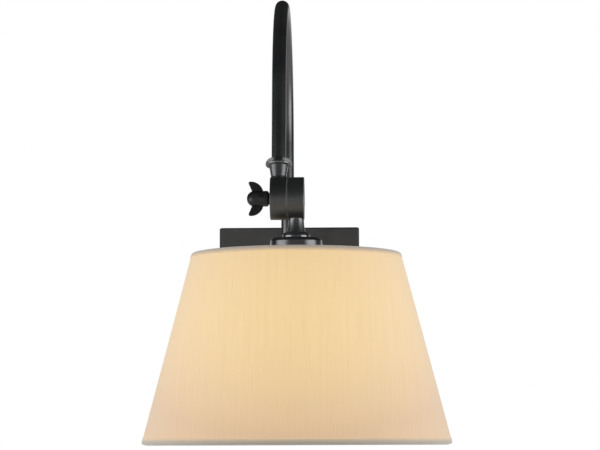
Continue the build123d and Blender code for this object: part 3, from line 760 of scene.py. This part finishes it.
# %% Linen
linen_pale = (0.375, 0.332, 0.276)
linen_shade = (0.305, 0.262, 0.212)
no_light = (0.0, 0.0, 0.0)
warp_marks = (1500.0, 26.0, 1.0)     # marks in a metre across and along the warp
weft_marks = (40.0, 1700.0, 1.0)
streak_marks = (650.0, 6.0, 1.0)
slub_marks = (900.0, 24.0, 1.0)
slub_peaks = (0.56, 0.74)
linen_constants = {"Roughness": 0.86, "Sheen Weight": 0.45, "Sheen Roughness": 0.50, "Emission Strength": 1.0}


def linen(name):
    """Slubbed linen: material, shader, place, and the wires of threads and slubs, about 0 to 1."""
    material, shader, place = begin(name, linen_constants)
    cloth = Wire(place.socket.node.outputs["UV"])
    warp = cloth.stretched(warp_marks).noise(1.0, 2.0, 0.6)
    weft = cloth.stretched(weft_marks).noise(1.0, 2.0, 0.6)
    streak = cloth.stretched(streak_marks).noise(1.0, 3.0, 0.6)
    slub = cloth.stretched(slub_marks).noise(1.0, 2.0, 0.55).fade(*slub_peaks)
    threads = 0.30 * warp + 0.15 * weft + 0.55 * streak
    colour = (0.35 + 0.80 * (threads - 0.5) + 0.25 * slub).between(linen_pale, linen_shade)
    height = threads + 0.5 * slub
    feed(shader, Base_Color=colour, Normal=height.bump(0.00018, 0.5))
    return material, shader, place, threads, slub


# %% Light through the cover
glow_near = (0.570, 0.366, 0.096)
glow_far = (0.365, 0.185, 0.048)
glow_height = -0.035
glow_reach = 0.105
side_loss = 0.40
mean_through = 0.955
thread_shadow = 0.19
slub_shadow = 0.04
lit_linen, lit_shader, lit_place, lit_threads, lit_slub = linen("lit_linen")
from_glow = (lit_place.axis("Z") - glow_height) / glow_reach
sideways = (lit_place.axis("X") - shade_axis.x) / glow_reach
glow = (from_glow * from_glow + side_loss * sideways * sideways).between(glow_near, glow_far)
let_through = mean_through - thread_shadow * (lit_threads - 0.5) - slub_shadow * lit_slub
feed(lit_shader, Emission_Color=let_through.between(no_light, glow))
cover.data.materials.append(lit_linen)
print("lit linen on the cover, brightest at", glow_height, "m")

# %% Light through the tapes
tape_glow = (0.42, 0.25, 0.08)
bound_linen, bound_shader, bound_place = linen("bound_linen")[:3]
from_border = Wire(bound_place.socket.node.outputs["UV"]).axis("Y")
to_fold = (1 - from_border / tape_width).larger(0.0)
feed(bound_shader, Emission_Color=(to_fold * to_fold).between(no_light, tape_glow))
for piece in (top_tape, bottom_tape):
    piece.data.materials.append(bound_linen)
print("linen on both tapes")

# %% [markdown]
# ## Liner
# Inside, the bonded styrene is a smooth pale skin that the bulb lights warmly, most of all level
# with the globe.

# %% Liner
liner, liner_shader, liner_place = begin("lit_liner", {"Roughness": 0.42, "Emission Strength": 0.42})
warm_reach = 0.075
from_bulb = (liner_place.axis("Z") - globe_centre.z) / warm_reach
warmth = 1 / (1 + from_bulb * from_bulb)
liner_cloud = liner_place.noise(60.0, 3.0)
feed(
    liner_shader,
    Base_Color=liner_cloud.between((0.56, 0.53, 0.47), (0.62, 0.59, 0.53)),
    Emission_Color=warmth.between((0.06, 0.042, 0.020), (0.95, 0.70, 0.38)),
)
paint(liner, "shade_liner")

# %% [markdown]
# ## Screw threads
# The studs that hold the plate are threaded rod, and the socket below the shade has a coarse
# moulded thread for the ring nut. A thread is a screw surface: the radius at a point depends only
# on how far round and how far along it is, as a triangle wave of along / pitch less the turns made.
# The rod is that height field, closed at both ends. The socket's thread is a small bead, carried
# along a helix and tapered to nothing at both ends, so that it grows out of the moulding.


# %% Studs
def weld(piece):
    """Merge points that meet at poles and ends, and turn all faces outwards."""
    shape = bmesh.new()
    shape.from_mesh(piece.data)
    bmesh.ops.remove_doubles(shape, verts=shape.verts, dist=0.002 * millimetre)
    bmesh.ops.recalc_face_normals(shape, faces=shape.faces)
    shape.to_mesh(piece.data)
    shape.free()


def threaded_rod(name, foot, length, radius, pitch, depth):
    """Rod out of the wall, cut to a cone at its ends.

    Its radius is less by depth times a triangle wave of along / pitch less the turns made."""
    turn = np.linspace(0, 2 * math.pi, 28, endpoint=False)[:, None]
    along = np.linspace(0, length, int(8 * length / pitch))[None, :]
    tooth = np.abs(2 * np.mod(along / pitch - turn / (2 * math.pi), 1) - 1)
    from_end = np.minimum(along, length - along)
    reach = np.minimum(radius - depth * tooth, radius - depth + from_end)
    reach = np.pad(reach, ((0, 0), (1, 1)))
    along = np.pad(along, ((0, 0), (1, 1)), mode="edge")
    x = foot.x + reach * np.cos(turn)
    z = foot.z + reach * np.sin(turn)
    places = np.stack(np.broadcast_arrays(x, foot.y - along, z), axis=-1)
    piece = grid_piece(name, places, joined=True)
    weld(piece)
    return piece


stud_low, stud_high = (Vector(corner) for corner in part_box("plate_studs"))
stud_radius = (stud_high.z - stud_low.z) / 2
stud_length = stud_high.y - stud_low.y
stud_pitch = 0.7 * millimetre
stud_thread_depth = 0.38 * millimetre
for side, x in (("left", stud_low.x + stud_radius), ("right", stud_high.x - stud_radius)):
    foot = Vector((x, stud_high.y, 0))
    stud = threaded_rod("stud_" + side, foot, stud_length, stud_radius, stud_pitch, stud_thread_depth)
    stud.data.materials.append(zinc)
    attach(stud, "wall_arm")
    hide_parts("plate_studs")

# %% Socket thread
socket_low, socket_high = (Vector(corner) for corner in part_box("socket_body"))
ring_nut_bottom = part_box("shade_ring_nut")[0][2]
thread_radius = (socket_high.y - socket_low.y) / 2
thread_pitch = 2.6 * millimetre
thread_height = 0.7 * millimetre
thread_half_width = 0.85 * millimetre
thread_sink = 0.1 * millimetre
thread_start = 1.2 * millimetre
plain_end = 4.0 * millimetre
taper_turn = 1.2     # radians at each end
thread_room = ring_nut_bottom - socket_low.z - plain_end
turns = thread_room / thread_pitch
round_bead = np.linspace(0, 2 * math.pi, 10, endpoint=False)[:, None]
along_helix = np.linspace(0, turns * 2 * math.pi, int(turns * 72))[None, :]
to_end = turns * 2 * math.pi - along_helix
taper = smooth(along_helix, 0, taper_turn) * smooth(to_end, 0, taper_turn)
bead_reach = thread_radius - thread_sink + taper * thread_height * np.cos(round_bead)
bead_level = ring_nut_bottom - thread_start - thread_pitch * along_helix / (2 * math.pi)
bead_level = bead_level + taper * thread_half_width * np.sin(round_bead)
bead_x = shade_axis.x + bead_reach * np.cos(along_helix)
bead_y = shade_axis.y + bead_reach * np.sin(along_helix)
bead_places = np.stack([bead_x, bead_y, bead_level], axis=-1)
socket_thread = grid_piece("socket_thread", bead_places, joined=True)
weld(socket_thread)
socket_thread.data.materials.append(phenolic)
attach(socket_thread, "lamp_head")
print("thread of", round(turns, 1), "turns on the socket")

# %% [markdown]
# ## Floor
# A wall lamp hangs at about eye level, so the floor is a pale disc one and a half metres below it,
# with a faint cloud so that it isn't a single flat tone. Its underside is clear: a Mix Shader takes
# the Transparent shader on the back of the faces, so that the lamp can also be looked at from below
# the floor.

# %% Floor finish
pale_floor, floor_shader, floor_place = begin("pale_floor", {"Roughness": 0.8})
floor_cloud = floor_place.noise(1.5, 2.0)
feed(floor_shader, Base_Color=floor_cloud.between((0.89, 0.89, 0.88), (0.92, 0.92, 0.91)))
underside = floor_place.node("NewGeometry", output="Backfacing")
clear = floor_place.node("BsdfTransparent")
pale = Wire(floor_shader.outputs[0])
solid_or_clear = floor_place.node("MixShader", None, {0: underside, 1: pale, 2: clear})
floor_output = floor_place.tree.nodes["Material Output"]
floor_place.tree.links.new(solid_or_clear.socket, floor_output.inputs["Surface"])
floor.data.materials.append(pale_floor)
print("pale floor, clear from below")
